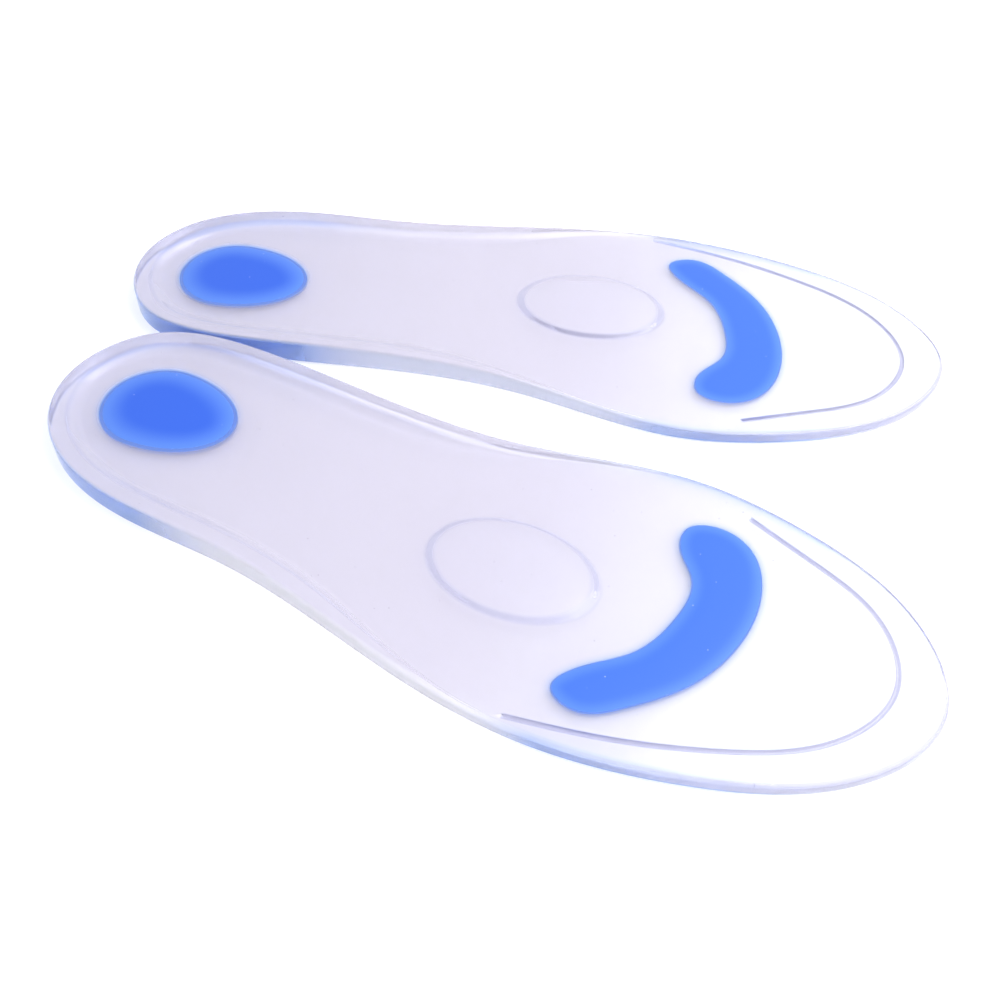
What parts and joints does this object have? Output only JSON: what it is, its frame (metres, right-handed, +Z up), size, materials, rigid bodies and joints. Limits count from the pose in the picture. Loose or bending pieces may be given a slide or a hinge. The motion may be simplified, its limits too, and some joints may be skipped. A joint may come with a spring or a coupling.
{
  "type": "gel insole pair",
  "caption": "Pair of full-length clear gel shoe insoles with raised heel rim, metatarsal dome, toe trim groove, and soft blue heel and forefoot pads.",
  "frame": {"origin": "middle of the pair's bounding box, on the surface that the insoles lie on", "axes": "+Z up, +Y forward from the heels to the toes, +X to the wearer's right"},
  "size_m": [0.2094, 0.2687, 0.0076],
  "materials": {
    "clear_gel": "clear, faintly milky silicone gel, smooth and glossy",
    "blue_gel": "softer translucent blue gel, smooth, faintly glossy"
  },
  "bodies": {
    "right_insole": {"right_gel_body": "clear_gel", "right_heel_pad": "blue_gel", "right_forefoot_pad": "blue_gel"},
    "left_insole": {"left_gel_body": "clear_gel", "left_heel_pad": "blue_gel", "left_forefoot_pad": "blue_gel"}
  },
  "joints": [
    {"name": "left_insole_lift", "type": "slide", "parent": "right_insole", "child": "left_insole", "axis": [0, 0, 1], "range_m": [0, 0.06]}
  ]
}
